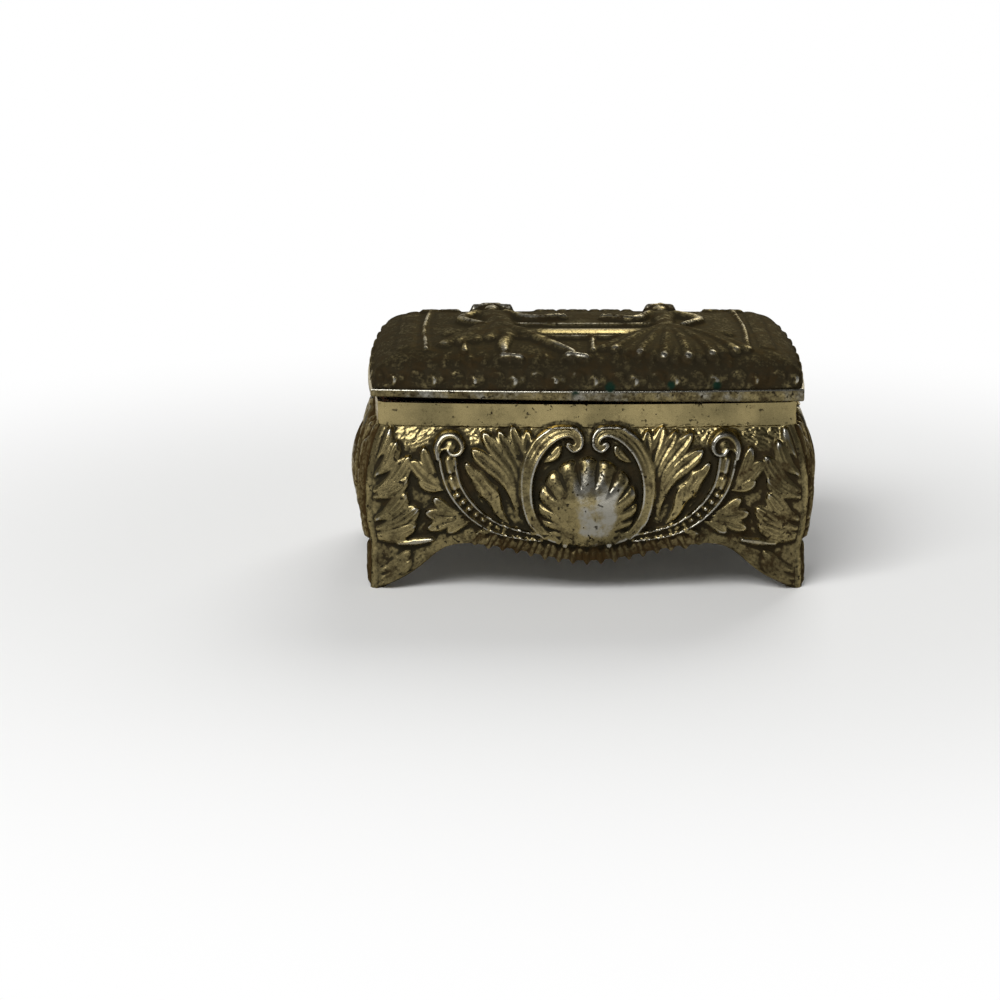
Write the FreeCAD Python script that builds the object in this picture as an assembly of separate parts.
import FreeCAD, Part
import math
import os

# A small footed trinket box: four bellied cast walls soldered at the corners, a floor plate on ledges,
# padded linings and a domed lid on a pinned hinge. Millimetres, +Z up. The origin is on the table under
# the middle of the box and the front faces -Y.

V = FreeCAD.Vector
UP = V(0, 0, 1)
ORIGIN = V(0, 0, 0)

# Walls, measured at the rim corners
RIM_WIDTH = 64.6
RIM_DEPTH = 42.0
BODY_HEIGHT = 29.4
WALL = 1.5
FRONT_BOW = 1.8
END_BOW = 1.2
BAND_HEIGHT = 3.7
BAND_STEP = 0.3
BELLY_BULGE = 2.2
BELLY_HEIGHT = 15.0
ANKLE_BULGE = 1.2
FOOT_HEIGHT = 6.6
FOOT_FLARE = 0.3
SEAM_WIDTH = 1.5
UPPER_FLATS = 2
LOWER_FLATS = 2

# Feet and the apron between them
TOE_INSET = 0.9
KNEE_SHARE = 0.45
KNEE_HEIGHT = 4.5
ARCH_INSET = 14.3
END_ARCH_INSET = 9.5
ARCH_HEIGHT = 7.6
DROP_HEIGHT = 5.1

# Relief
RELIEF_ROOT = 0.5
LEAF_RISE = 0.7
SCROLL_RISE = 1.1
VOLUTE_RISE = 1.5
SHELL_RADIUS = 7.7
SHELL_HEIGHT_SHARE = 0.493
END_SHELL_HEIGHT_SHARE = 0.53
SHELL_RISE = 2.6
END_SHELL_RISE = 1.6
SHELL_RIM = 0.7
FLUTES = 9
FLUTE_DEPTH = 0.6
UMBO_SHARE = 0.7
SCROLL_RADIUS = 12.0
SCROLL_WIDTH = 2.4
BALL_RADIUS = 1.9

# The C-scrolls: their rims in scroll widths past the shell, their ends and their widest place in shell radii
SCROLL_RIM_SHARES = (1.2, 0.2)
SCROLL_END_SHARE = 0.45
SCROLL_BEND_SHARE = 0.24
# The beaded scrolls: their centre and their volutes in scroll radii, and the angles that they run through
BEADED_CENTRE_SHARES = (0.71, 0.5)
BEADED_VOLUTE_SHARES = (1.72, 0.7)
BEADED_ANGLES = (-5.0, -48.0, -92.0)
# Corners of a round boss and of a scroll's edge
BOSS_SIDES = 10
SCROLL_STEPS = 7
# Rings of folds in the scallop, from its hinge to its rim
PLEAT_SHARES = (0.35, 0.7, 1.0)

# Lid
LID_GAP = 0.3
LID_OVERHANG = 1.1
LID_LIP = 2.4
LID_LIP_STEP = 0.5
LID_WALL = 1.6
DOME_RISE = 5.6
FIGURE_RISE = 0.9
LIMB_WIDTH = 2.3
TRUNK_WIDTH = 4.6
HEAD_RADIUS = 2.0
SEAT_WIDTH = 5.0

# Floor and linings
FLOOR_HEIGHT = 9.0
FLOOR_PLATE = 0.8
LEDGE_WIDTH = 0.9
LEDGE_HEIGHT = 1.0
CORNER_CHAMFER = 2.0
TACK_SIZE = 0.6
TACK_LENGTH = 3.0
TACK_SHARES = (-0.5, 0.5)
BOARD = 0.8
PAD = 1.6
PAD_SOFTNESS = 0.9
LINING = 1.4
LINING_DROP = 1.0
LINING_GAP = 0.4
LID_PAD = 1.0
LID_PAD_SOFTNESS = 0.6
LID_PAD_RAISE = 0.3
FIT_GAP = 0.3
SOLDER_GAP = 0.03

# Hinge
KNUCKLE_RADIUS = 1.3
PIN_RADIUS = 0.6
PIN_CLEARANCE = 0.05
PIN_HEAD_RADIUS = 0.95
PIN_HEAD = 0.5
BOX_KNUCKLE = 8.0
LID_KNUCKLE = 5.0
KNUCKLE_GAP = 0.2
HINGE_LEAF = 0.6
LEAF_MARGIN = 0.3
HEEL_WIDTH = 1.2
HEEL_TILT = 25.0
OPEN_ANGLE = 105.0
STOP_CLEARANCE = 0.1

# Cutting shapes run past the body by this much
OVERRUN = 1.0

BAND_BOTTOM = BODY_HEIGHT - BAND_HEIGHT
SHELL_HEIGHT = SHELL_HEIGHT_SHARE * BODY_HEIGHT
END_SHELL_HEIGHT = END_SHELL_HEIGHT_SHARE * BODY_HEIGHT
UMBO_DROP = UMBO_SHARE * SHELL_RADIUS
REACH = FRONT_BOW + BELLY_BULGE + SHELL_RISE + FLUTE_DEPTH + OVERRUN
LID_BOTTOM = BODY_HEIGHT + LID_GAP
LIP_TOP = LID_BOTTOM + LID_LIP

# Leaflets of the relief on half a wall. Each row is the base and the tip of one leaflet. Across, one is
# half the rim length of the front wall, and upwards one is the height of the walls.
FRONT_LEAF_SHARES = [
    (0.32, 0.49, 0.53, 0.81),
    (0.30, 0.38, 0.56, 0.66),
    (0.68, 0.58, 0.86, 0.74),
    (0.61, 0.41, 0.83, 0.48),
]
END_LEAF_SHARES = [
    (0.32, 0.48, 0.47, 0.80),
    (0.28, 0.34, 0.49, 0.56),
]
LEAFLET_WIDTH_SHARE = 0.18
LEAFLET_WIDEST_SHARE = 0.45
# The dome of the lid: how far in from the lip, as a share of the rim depth, and how high, as a share of
# its rise.
DOME_SHARES = [(0.0, 0.0), (0.010, 0.45), (0.036, 0.61), (0.13, 0.84), (0.33, 1.0)]
HOLLOW_SHARES = [(0.0, 0.0), (0.083, 0.62), (0.40, 1.0)]
# The couple on the lid. Across, one is half the rim width, and along, half the rim depth. A row of limbs,
# trunks or the bench is the start and the end of a bar.
LIMB_SHARES = [
    (-0.38, -0.24, -0.25, -0.52),
    (-0.27, -0.49, -0.05, -0.94),
    (-0.42, -0.26, -0.37, -0.54),
    (-0.38, -0.50, -0.40, -0.92),
    (-0.39, 0.41, -0.27, 0.16),
    (-0.29, 0.17, -0.09, 0.23),
    (-0.53, 0.40, -0.60, 0.10),
    (-0.60, 0.13, -0.48, -0.17),
    (0.35, 0.36, 0.25, 0.10),
    (0.27, 0.11, 0.10, 0.22),
    (0.47, 0.36, 0.58, 0.10),
    (0.58, 0.13, 0.48, -0.16),
]
TRUNK_SHARES = [(-0.40, -0.24, -0.46, 0.49), (0.40, -0.21, 0.40, 0.45)]
BENCH_SHARES = (-0.64, -0.38, 0.67, -0.38)
HAT_SHARES = (-0.55, 0.77, -0.37, 0.77)
HEAD_SHARES = [(-0.46, 0.66), (0.40, 0.65), (0.41, 0.80)]
COAT_SHARES = [(-0.50, 0.02), (-0.40, -0.14), (-0.44, -0.62), (-0.69, -0.74), (-0.62, -0.28)]
SKIRT_SHARES = [
    (0.36, -0.17), (0.45, -0.17), (0.61, -0.43), (0.80, -0.83), (0.67, -0.94), (0.54, -0.99),
    (0.40, -1.00), (0.28, -0.98), (0.16, -0.92), (0.06, -0.82), (0.25, -0.43),
]


def edges_to_face(edges):
    """The flat face inside a closed run of edges."""
    return Part.Face(Part.Wire(Part.__sortEdges__(edges)))


def closed_face(points):
    """The flat face inside straight lines from point to point."""
    return Part.Face(Part.makePolygon(points + points[:1]))


def line(start, end):
    return Part.LineSegment(start, end).toShape()


def bend(start, through, end):
    return Part.Arc(start, through, end).toShape()


def tangent_arc(start, along, end):
    """The arc that leaves start in the direction along and reaches end."""
    chord = end - start
    ahead = V(chord).normalize()
    aside = V(along - ahead * along.dot(ahead)).normalize()
    sag = chord.Length / 2 * math.tan(along.getAngle(chord) / 2)
    return bend(start, (start + end) / 2 + aside * sag, end)


def arriving(start, along, end):
    """The direction in which that arc reaches its end."""
    ahead = V(end - start).normalize()
    return ahead * (2 * along.dot(ahead)) - along


def merge(shapes):
    """All the shapes fused into one."""
    if len(shapes) == 1:
        return shapes[0]
    return shapes[0].fuse(shapes[1:]).removeSplitter()


def bulge(height):
    """How far the outer face stands out between neck and ankle: two arcs that meet upright at the belly."""
    if height > BELLY_HEIGHT:
        out = BELLY_BULGE + BAND_STEP
        span = BAND_BOTTOM - BELLY_HEIGHT
    else:
        out = BELLY_BULGE - ANKLE_BULGE
        span = BELLY_HEIGHT - FOOT_HEIGHT
    radius = (out ** 2 + span ** 2) / (2 * out)
    return BELLY_BULGE - radius + math.sqrt(radius ** 2 - (height - BELLY_HEIGHT) ** 2)


def wall_line(place, shift):
    """The outer line of a wall from rim to foot, moved outwards by shift. The belly runs in short flats."""
    points = [place(shift, BODY_HEIGHT), place(shift, BAND_BOTTOM)]
    for step in range(UPPER_FLATS):
        height = BAND_BOTTOM + (BELLY_HEIGHT - BAND_BOTTOM) * step / UPPER_FLATS
        points.append(place(shift + bulge(height), height))
    for step in range(LOWER_FLATS + 1):
        height = BELLY_HEIGHT + (FOOT_HEIGHT - BELLY_HEIGHT) * step / LOWER_FLATS
        points.append(place(shift + bulge(height), height))
    points.append(place(shift + ANKLE_BULGE + FOOT_FLARE, 0))
    return points


def section_face(place, inner, outer):
    """The cross-section between two shifts of the wall line."""
    return closed_face(wall_line(place, inner) + wall_line(place, outer)[::-1])


class Wall:
    """One side of the box, drawn facing -Y and then turned to its place."""

    def __init__(self, length, offset, bow, arch_inset, shell_height, shell_rise, turn):
        self.half = length / 2
        self.offset = offset
        self.bow = bow
        self.arch_inset = arch_inset
        self.shell_height = shell_height
        self.shell_rise = shell_rise
        self.turn = turn
        self.radius = (self.half ** 2 + bow ** 2) / (2 * bow)
        self.axis = V(0, self.radius - offset - bow, 0)
        self.half_angle = math.degrees(math.asin((self.half + REACH) / self.radius))

    def place(self, out, height):
        return V(0, -self.offset - self.bow - out, height)

    def sector(self, face, start, sweep):
        """A cross-section swept along the bow of the wall."""
        turned = face.copy()
        turned.rotate(self.axis, UP, start)
        return turned.revolve(self.axis, UP, sweep)

    def layer(self, inner, outer):
        """The curved sheet between two shifts of the wall line."""
        return self.sector(section_face(self.place, inner, outer), -self.half_angle, 2 * self.half_angle)

    def strip(self, inner, outer, bottom, top):
        """An upright strip between two distances from the rim line."""
        corners = [(inner, bottom), (outer, bottom), (outer, top), (inner, top)]
        face = closed_face([self.place(out, height) for out, height in corners])
        return self.sector(face, -self.half_angle, 2 * self.half_angle)

    def between_mitres(self, gap):
        """The room between the two mitred corners, kept half the gap from each mitre plane."""
        edge = self.half - gap / math.sqrt(2)
        inward = RIM_DEPTH / 4
        bottom = -OVERRUN
        front = -self.offset - REACH
        back = -self.offset + inward
        plan = [(-edge - REACH, front), (edge + REACH, front), (edge - inward, back), (-edge + inward, back)]
        return closed_face([V(x, y, bottom) for x, y in plan]).extrude(UP * (BODY_HEIGHT + 2 * OVERRUN))

    def point(self, across, height):
        """A point of the drawing plane in front of the wall."""
        return V(across, -self.offset - REACH, height)

    def through(self, faces):
        """Drawn faces pushed straight through the wall."""
        return merge(faces).extrude(V(0, REACH + self.offset / 2, 0))

    def turned(self, shape):
        shape.rotate(ORIGIN, UP, self.turn)
        return shape


def apron_opening(wall):
    """The gap below the wall: two arches between the feet and a drop in the middle."""
    toe = wall.half - TOE_INSET
    knee = wall.half - KNEE_SHARE * wall.arch_inset
    arch = wall.half - wall.arch_inset
    edges = []
    for side in (1, -1):
        out = V(side, 0, 0)
        crown = wall.point(side * arch, ARCH_HEIGHT)
        bent = wall.point(side * knee, KNEE_HEIGHT)
        tip = wall.point(side * toe, 0)
        low = wall.point(side * toe, -OVERRUN)
        drop = wall.point(0, DROP_HEIGHT)
        turning = (crown + drop) / 2
        edges += [tangent_arc(crown, out, bent), tangent_arc(bent, arriving(crown, out, bent), tip)]
        edges += [tangent_arc(crown, -out, turning), tangent_arc(drop, out, turning), line(tip, low)]
    edges.append(line(wall.point(toe, -OVERRUN), wall.point(-toe, -OVERRUN)))
    return wall.through([edges_to_face(edges)])


def leaflet(base, tip):
    """A pointed leaflet, widest before its middle."""
    along = tip - base
    widest = base + along * LEAFLET_WIDEST_SHARE
    aside = along.cross(V(0, 1, 0)) * LEAFLET_WIDTH_SHARE
    return closed_face([base, widest + aside, tip, widest - aside])


def leaf_faces(wall, rows):
    """Leaflets on both halves of the wall."""
    unit = RIM_WIDTH / 2
    faces = []
    for side in (1, -1):
        for base_across, base_up, tip_across, tip_up in rows:
            base = wall.point(side * base_across * unit, base_up * BODY_HEIGHT)
            tip = wall.point(side * tip_across * unit, tip_up * BODY_HEIGHT)
            faces.append(leaflet(base, tip))
    return faces


def c_scroll_faces(wall):
    """The pair of C-scrolls that hold the shell."""
    outer, inner = [SHELL_RADIUS + SCROLL_WIDTH * rim for rim in SCROLL_RIM_SHARES]
    top_across = SHELL_RADIUS * SCROLL_END_SHARE
    top = BAND_BOTTOM - BAND_STEP
    lower_top = top - SCROLL_WIDTH
    bottom = wall.shell_height - SHELL_RADIUS
    middle = wall.shell_height + SHELL_RADIUS * SCROLL_BEND_SHARE
    faces = []
    for side in (1, -1):
        top_out = wall.point(side * top_across, top)
        top_in = wall.point(side * top_across, lower_top)
        foot = wall.point(side * top_across, bottom)
        rim = bend(top_out, wall.point(side * outer, middle), foot).discretize(SCROLL_STEPS)
        hollow = bend(top_in, wall.point(side * inner, middle), foot).discretize(SCROLL_STEPS)
        faces.append(closed_face(rim + hollow[-2::-1]))
    return faces


def boss(centre, across, along):
    """A round boss as a drawn face with a few straight sides."""
    points = []
    for step in range(BOSS_SIDES):
        turn = 2 * math.pi * step / BOSS_SIDES
        points.append(centre + across * math.cos(turn) + along * math.sin(turn))
    return closed_face(points)


def beaded_scroll_faces(wall):
    """The pair of scrolls that sweep from the volutes under the leaves to the shell."""
    across_share, up_share = BEADED_CENTRE_SHARES
    centre_across = SCROLL_RADIUS * across_share
    centre_up = wall.shell_height + SCROLL_RADIUS * up_share
    faces = []
    for side in (1, -1):
        ends = []
        for radius in (SCROLL_RADIUS - SCROLL_WIDTH / 2, SCROLL_RADIUS + SCROLL_WIDTH / 2):
            run = []
            for angle in BEADED_ANGLES:
                turn = math.radians(angle)
                across = centre_across + radius * math.cos(turn)
                run.append(wall.point(side * across, centre_up + radius * math.sin(turn)))
            ends.append(run)
        inside, outside = [bend(*run).discretize(SCROLL_STEPS) for run in ends]
        faces.append(closed_face(inside + outside[::-1]))
    return faces


def volute_faces(wall):
    """Round ends of the beaded scrolls."""
    across_share, up_share = BEADED_VOLUTE_SHARES
    across = SCROLL_RADIUS * across_share
    height = wall.shell_height + SCROLL_RADIUS * up_share
    size = V(BALL_RADIUS, 0, 0)
    return [boss(wall.point(side * across, height), size, UP * BALL_RADIUS) for side in (1, -1)]


def shell(wall):
    """A domed scallop: pleats fan out from its hinge and end in a scalloped rim."""
    hinge = V(0, 0, wall.shell_height - UMBO_DROP)
    folds = 4 * FLUTES

    def lift(across, height, pleat):
        spread = math.hypot(across, height - wall.shell_height) / SHELL_RADIUS
        dome = SHELL_RIM + (wall.shell_rise - SHELL_RIM) * (1 - spread ** 2)
        return wall.place(bulge(height) + dome + pleat, height) + V(across, 0, 0)

    rings = []
    for share in PLEAT_SHARES:
        ring = []
        for fold in range(folds):
            turn = 2 * math.pi * fold / folds
            reach = UMBO_DROP * math.sin(turn)
            reach += math.sqrt(reach ** 2 - UMBO_DROP ** 2 + SHELL_RADIUS ** 2)
            across = share * reach * math.cos(turn)
            height = hinge.z + share * reach * math.sin(turn)
            ridge = fold % 2 if fold < folds / 2 else 0
            ring.append(lift(across, height, share * FLUTE_DEPTH * ridge))
        rings.append(ring)
    rings.append([point + V(0, REACH, 0) for point in rings[-1]])
    faces = []
    top = lift(0, hinge.z, 0)
    bottom = top + V(0, REACH, 0)
    for fold in range(folds):
        after = (fold + 1) % folds
        faces.append(closed_face([top, rings[0][fold], rings[0][after]]))
        for low, high in zip(rings[:-1], rings[1:]):
            faces.append(closed_face([low[fold], high[fold], high[after]]))
            faces.append(closed_face([low[fold], high[after], low[after]]))
        faces.append(closed_face([bottom, rings[-1][after], rings[-1][fold]]))
    solid = Part.makeSolid(Part.makeShell(faces))
    if solid.Volume < 0:
        solid.reverse()
    return solid.common(wall.layer(-RELIEF_ROOT, REACH))


def raised(wall, faces, rise):
    """Drawn faces standing out from the curved ground of the wall."""
    return wall.through(faces).common(wall.layer(-RELIEF_ROOT, rise))


def build_panel(wall, leaf_rows, beaded):
    """A whole cast wall: bowed sheet, ledge, apron and relief."""
    room = wall.between_mitres(SEAM_WIDTH)
    inner = bulge(FLOOR_HEIGHT) - WALL
    ledge = wall.strip(inner - LEDGE_WIDTH, inner + WALL / 2, FLOOR_HEIGHT - LEDGE_HEIGHT, FLOOR_HEIGHT)
    sheet = wall.layer(-WALL, 0).fuse(ledge).cut(apron_opening(wall))
    scrolls = c_scroll_faces(wall)
    relief = [shell(wall), raised(wall, leaf_faces(wall, leaf_rows), LEAF_RISE)]
    if beaded:
        scrolls += beaded_scroll_faces(wall)
        relief.append(raised(wall, volute_faces(wall), VOLUTE_RISE))
    relief.append(raised(wall, scrolls, SCROLL_RISE))
    panel = sheet.fuse(relief).common(room).removeSplitter()
    return wall.turned(panel)


def build_seam(turn, x, y):
    """A strip of solder that fills the corner between two mitred walls."""
    slope = front_wall.half / front_wall.radius
    half = SEAM_WIDTH / 2

    def place(out, height):
        return V(-half, -(math.sqrt(2) * out - half * (1 - slope)) / (1 + slope), height)

    seam = section_face(place, -WALL, 0).extrude(V(SEAM_WIDTH, 0, 0))
    seam.rotate(ORIGIN, UP, turn)
    seam.translate(V(x, y, 0))
    return seam


def plan_plate(shift, bottom, thickness, chamfer):
    """A flat plate that follows the bowed plan of the box, its edge moved outwards by shift."""
    plate = None
    for wall in walls:
        round_plate = Part.makeCylinder(wall.radius + shift, thickness, wall.axis + UP * bottom)
        round_plate.rotate(ORIGIN, UP, wall.turn)
        plate = round_plate if plate is None else plate.common(round_plate)
    wide = RIM_WIDTH / 2 + END_BOW + shift + OVERRUN
    deep = RIM_DEPTH / 2 + FRONT_BOW + shift + OVERRUN
    cut_off = RIM_WIDTH / 2 + RIM_DEPTH / 2 + 2 * shift - chamfer
    corner = [(wide, cut_off - wide), (cut_off - deep, deep)]
    plan = []
    for flip_x, flip_y in ((1, 1), (-1, 1), (-1, -1), (1, -1)):
        run = corner if flip_x * flip_y > 0 else corner[::-1]
        plan += [V(flip_x * x, flip_y * y, bottom) for x, y in run]
    return plate.common(closed_face(plan).extrude(UP * thickness))


def cushion(plate, softness, upwards):
    """A plate with one face softened along its edge."""
    level = plate.BoundBox.ZMax if upwards else plate.BoundBox.ZMin
    rim = []
    for edge in plate.Edges:
        box = edge.BoundBox
        if abs(box.ZMax - level) < softness / 2 and abs(box.ZMin - level) < softness / 2:
            rim.append(edge)
    return plate.makeChamfer(softness, rim)


def build_tacks():
    """Blobs of solder in the angle between the floor plate and its ledges."""
    edge = bulge(FLOOR_HEIGHT) - WALL - LEDGE_WIDTH - SOLDER_GAP
    top = FLOOR_HEIGHT - SOLDER_GAP
    tacks = []
    for wall, spots in zip(walls, (TACK_SHARES, (0,), TACK_SHARES, (0,))):
        corners = [(edge, top), (edge - TACK_SIZE, top), (edge, top - TACK_SIZE)]
        face = closed_face([wall.place(out, height) for out, height in corners])
        sweep = math.degrees(TACK_LENGTH / wall.radius)
        for spot in spots:
            start = math.degrees(spot * wall.half / wall.radius) - sweep / 2
            tacks.append(wall.turned(wall.sector(face, start, sweep)))
    return Part.makeCompound(tacks)


def build_lining(wall):
    """A padded strip that covers the inside of one wall."""
    outer = -WALL - BAND_STEP - FIT_GAP
    strip = wall.strip(outer - LINING, outer, FLOOR_HEIGHT + FLOOR_PLATE, BODY_HEIGHT - LINING_DROP)
    return wall.turned(strip.common(wall.between_mitres(LINING_GAP)))


def lid_form(inset, bottom, rise, slope_shares):
    """A solid of the lid's form: on each side an upright lip and a slope that bends into the flat top."""
    edge = LID_OVERHANG - inset
    form = None
    for wall in walls:
        far = -2 * (wall.offset + wall.bow + LID_OVERHANG)
        points = [(far, bottom), (edge, bottom), (edge, LIP_TOP)]
        for share, up in slope_shares:
            points.append((edge - LID_LIP_STEP - share * RIM_DEPTH, LIP_TOP + up * rise))
        points.append((far, LIP_TOP + rise))
        face = closed_face([wall.place(out, height) for out, height in points])
        side = wall.turned(wall.sector(face, -2 * wall.half_angle, 4 * wall.half_angle))
        form = side if form is None else form.common(side)
    return form


def lid_point(across_share, along_share):
    """A point of the plane in which the couple on the lid is drawn."""
    return V(across_share * RIM_WIDTH / 2, along_share * RIM_DEPTH / 2, LIP_TOP)


def bar(row, width):
    """A straight bar as a drawn face."""
    start = lid_point(*row[:2])
    end = lid_point(*row[2:])
    aside = (end - start).cross(UP).normalize() * (width / 2)
    return closed_face([start + aside, end + aside, end - aside, start - aside])


def couple():
    """Two figures seated on a bench, as drawn faces: limbs, trunks, heads, a coat and a skirt."""
    faces = [bar(BENCH_SHARES, SEAT_WIDTH), bar(HAT_SHARES, HEAD_RADIUS)]
    faces += [bar(row, LIMB_WIDTH) for row in LIMB_SHARES]
    faces += [bar(row, TRUNK_WIDTH) for row in TRUNK_SHARES]
    for spot in HEAD_SHARES:
        faces.append(boss(lid_point(*spot), V(HEAD_RADIUS, 0, 0), V(0, HEAD_RADIUS, 0)))
    for outline in (COAT_SHARES, SKIRT_SHARES):
        faces.append(closed_face([lid_point(*spot) for spot in outline]))
    return faces


def build_lid():
    """The lid: a domed shell with a couple in low relief, hollow below."""
    outer = lid_form(0, LID_BOTTOM, DOME_RISE, DOME_SHARES)
    risen = lid_form(0, LID_BOTTOM, DOME_RISE + FIGURE_RISE, DOME_SHARES)
    relief = merge(couple()).extrude(UP * (DOME_RISE + FIGURE_RISE + OVERRUN)).common(risen)
    hollow = lid_form(LID_WALL, LID_BOTTOM - OVERRUN, DOME_RISE - LID_WALL, HOLLOW_SHARES)
    return outer.fuse(relief).cut(hollow).removeSplitter()


def build_box_bracket():
    """The fixed half of the hinge: a leaf on the back wall, an arm and the middle knuckle."""
    back = RIM_DEPTH / 2 + FRONT_BOW + SOLDER_GAP
    half = BOX_KNUCKLE / 2
    leaf_half = half + KNUCKLE_GAP + LID_KNUCKLE
    leaf_bottom = BAND_BOTTOM + LEAF_MARGIN
    leaf_height = BAND_HEIGHT - 2 * LEAF_MARGIN
    leaf = Part.makeBox(2 * leaf_half, HINGE_LEAF, leaf_height, V(-leaf_half, back, leaf_bottom))
    arm_bottom = HINGE_Z - KNUCKLE_RADIUS
    arm_top = LID_BOTTOM - FIT_GAP
    arm = Part.makeBox(BOX_KNUCKLE, HINGE_Y - back, arm_top - arm_bottom, V(-half, back, arm_bottom))
    barrel = Part.makeCylinder(KNUCKLE_RADIUS, BOX_KNUCKLE, V(-half, HINGE_Y, HINGE_Z), V(1, 0, 0))
    bore = Part.makeCylinder(PIN_RADIUS, BOX_KNUCKLE, V(-half, HINGE_Y, HINGE_Z), V(1, 0, 0))
    return leaf.fuse([arm, barrel]).cut(bore).removeSplitter()


def build_lid_lug(side):
    """One moving lug of the hinge: a block on the lid's lip, a knuckle and a heel that stops the lid."""
    near = BOX_KNUCKLE / 2 + KNUCKLE_GAP
    left = near if side > 0 else -near - LID_KNUCKLE
    face = HINGE_Y - KNUCKLE_RADIUS - FIT_GAP + SOLDER_GAP
    leaf_bottom = LID_BOTTOM + LEAF_MARGIN
    leaf = Part.makeBox(LID_KNUCKLE, HINGE_LEAF, LID_LIP - 2 * LEAF_MARGIN, V(left, face, leaf_bottom))
    arm_height = HINGE_Z + KNUCKLE_RADIUS - leaf_bottom
    arm = Part.makeBox(LID_KNUCKLE, HINGE_Y - face, arm_height, V(left, face, leaf_bottom))
    barrel = Part.makeCylinder(KNUCKLE_RADIUS, LID_KNUCKLE, V(left, HINGE_Y, HINGE_Z), V(1, 0, 0))
    room = HINGE_Y - RIM_DEPTH / 2 - FRONT_BOW - SOLDER_GAP - HINGE_LEAF - STOP_CLEARANCE
    tilt = math.radians(HEEL_TILT)
    heel_length = (room - HEEL_WIDTH / 2 * math.sin(tilt)) / math.cos(tilt)
    heel = Part.makeBox(LID_KNUCKLE, heel_length, HEEL_WIDTH, V(left, HINGE_Y, HINGE_Z - HEEL_WIDTH / 2))
    heel.rotate(V(0, HINGE_Y, HINGE_Z), V(1, 0, 0), HEEL_TILT + OPEN_ANGLE - 180.0)
    bore_radius = PIN_RADIUS + PIN_CLEARANCE
    bore = Part.makeCylinder(bore_radius, LID_KNUCKLE, V(left, HINGE_Y, HINGE_Z), V(1, 0, 0))
    return leaf.fuse([arm, barrel, heel]).cut(bore).removeSplitter()


def build_pin():
    """The hinge pin with a flat head at each end."""
    half = BOX_KNUCKLE / 2 + 2 * KNUCKLE_GAP + LID_KNUCKLE
    along = V(1, 0, 0)
    pin = Part.makeCylinder(PIN_RADIUS, 2 * half, V(-half, HINGE_Y, HINGE_Z), along)
    left_head = Part.makeCylinder(PIN_HEAD_RADIUS, PIN_HEAD, V(-half - PIN_HEAD, HINGE_Y, HINGE_Z), along)
    right_head = Part.makeCylinder(PIN_HEAD_RADIUS, PIN_HEAD, V(half, HINGE_Y, HINGE_Z), along)
    return pin.fuse([left_head, right_head]).removeSplitter()


HINGE_Y = RIM_DEPTH / 2 + FRONT_BOW + LID_OVERHANG + FIT_GAP + KNUCKLE_RADIUS
HINGE_Z = BODY_HEIGHT + LID_GAP / 2

front_wall = Wall(RIM_WIDTH, RIM_DEPTH / 2, FRONT_BOW, ARCH_INSET, SHELL_HEIGHT, SHELL_RISE, 0)
right_wall = Wall(RIM_DEPTH, RIM_WIDTH / 2, END_BOW, END_ARCH_INSET, END_SHELL_HEIGHT, END_SHELL_RISE, 90)
back_wall = Wall(RIM_WIDTH, RIM_DEPTH / 2, FRONT_BOW, ARCH_INSET, SHELL_HEIGHT, SHELL_RISE, 180)
left_wall = Wall(RIM_DEPTH, RIM_WIDTH / 2, END_BOW, END_ARCH_INSET, END_SHELL_HEIGHT, END_SHELL_RISE, 270)
walls = [front_wall, right_wall, back_wall, left_wall]

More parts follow.
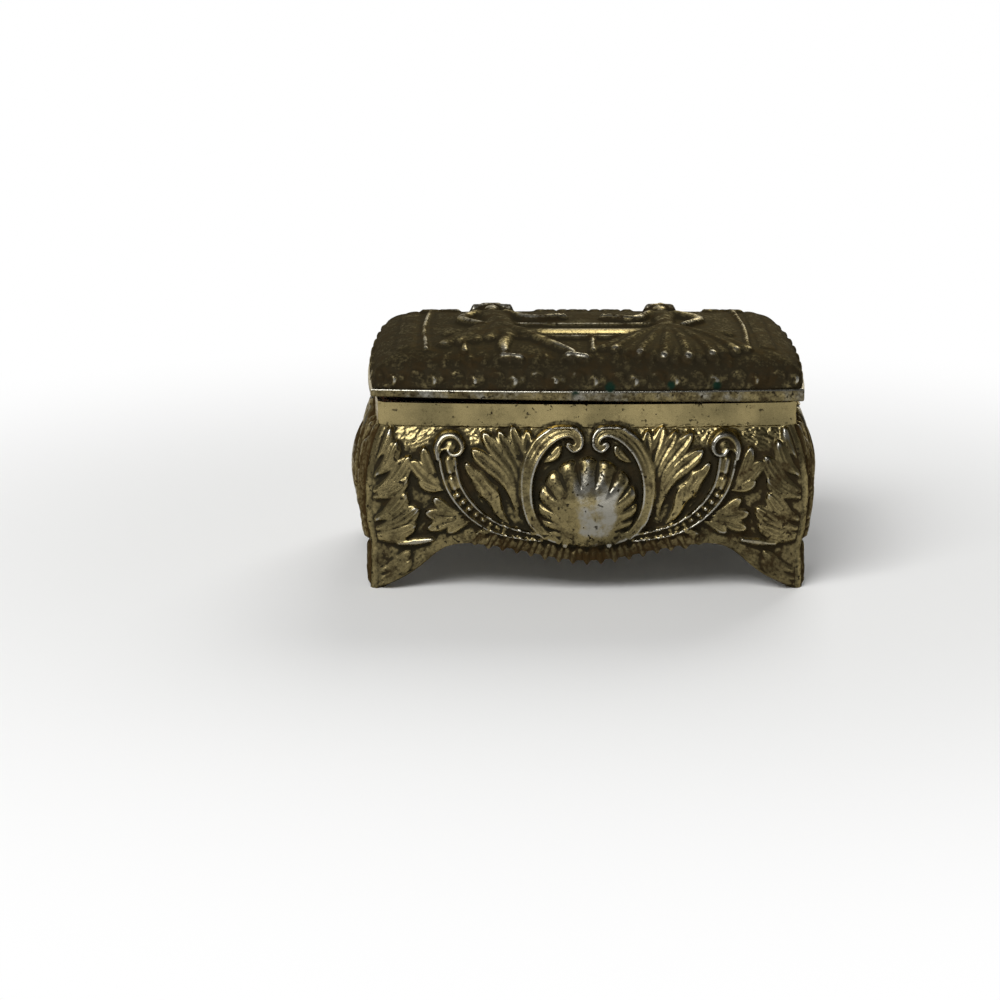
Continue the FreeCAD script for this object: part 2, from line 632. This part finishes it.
pieces = {}
pieces["front_panel"] = build_panel(front_wall, FRONT_LEAF_SHARES, True)
pieces["back_panel"] = build_panel(back_wall, FRONT_LEAF_SHARES, True)
pieces["left_panel"] = build_panel(left_wall, END_LEAF_SHARES, False)
pieces["right_panel"] = build_panel(right_wall, END_LEAF_SHARES, False)
pieces["front_left_seam"] = build_seam(-45.0, -RIM_WIDTH / 2, -RIM_DEPTH / 2)
pieces["front_right_seam"] = build_seam(45.0, RIM_WIDTH / 2, -RIM_DEPTH / 2)
pieces["back_right_seam"] = build_seam(135.0, RIM_WIDTH / 2, RIM_DEPTH / 2)
pieces["back_left_seam"] = build_seam(-135.0, -RIM_WIDTH / 2, RIM_DEPTH / 2)

plate_edge = bulge(FLOOR_HEIGHT) - WALL - FIT_GAP / 2
pieces["floor_plate"] = plan_plate(plate_edge, FLOOR_HEIGHT, FLOOR_PLATE, CORNER_CHAMFER)
pieces["floor_solder_tacks"] = build_tacks()
board_edge = -WALL - BAND_STEP - 2 * FIT_GAP - LINING
board_bottom = FLOOR_HEIGHT + FLOOR_PLATE
pieces["floor_board"] = plan_plate(board_edge, board_bottom, BOARD, CORNER_CHAMFER)
pad_plate = plan_plate(board_edge, board_bottom + BOARD, PAD, CORNER_CHAMFER)
pieces["floor_pad"] = cushion(pad_plate, PAD_SOFTNESS, True)
pieces["front_lining"] = build_lining(front_wall)
pieces["back_lining"] = build_lining(back_wall)
pieces["left_lining"] = build_lining(left_wall)
pieces["right_lining"] = build_lining(right_wall)

pieces["lid_shell"] = build_lid()
pad_bottom = LID_BOTTOM + LID_PAD_RAISE
lid_board_edge = LID_OVERHANG - LID_WALL - SOLDER_GAP
pieces["lid_board"] = plan_plate(lid_board_edge, pad_bottom + LID_PAD, BOARD, CORNER_CHAMFER)
lid_pad_plate = plan_plate(lid_board_edge - FIT_GAP, pad_bottom, LID_PAD, CORNER_CHAMFER)
pieces["lid_pad"] = cushion(lid_pad_plate, LID_PAD_SOFTNESS, False)
pieces["box_hinge_bracket"] = build_box_bracket()
pieces["lid_hinge_left"] = build_lid_lug(-1)
pieces["lid_hinge_right"] = build_lid_lug(1)
pieces["hinge_pin"] = build_pin()

os.makedirs("parts", exist_ok=True)
for name, shape in pieces.items():
    shape.exportStep("parts/" + name + ".step")
    print(name, len(shape.Solids), shape.isValid(), shape.BoundBox)
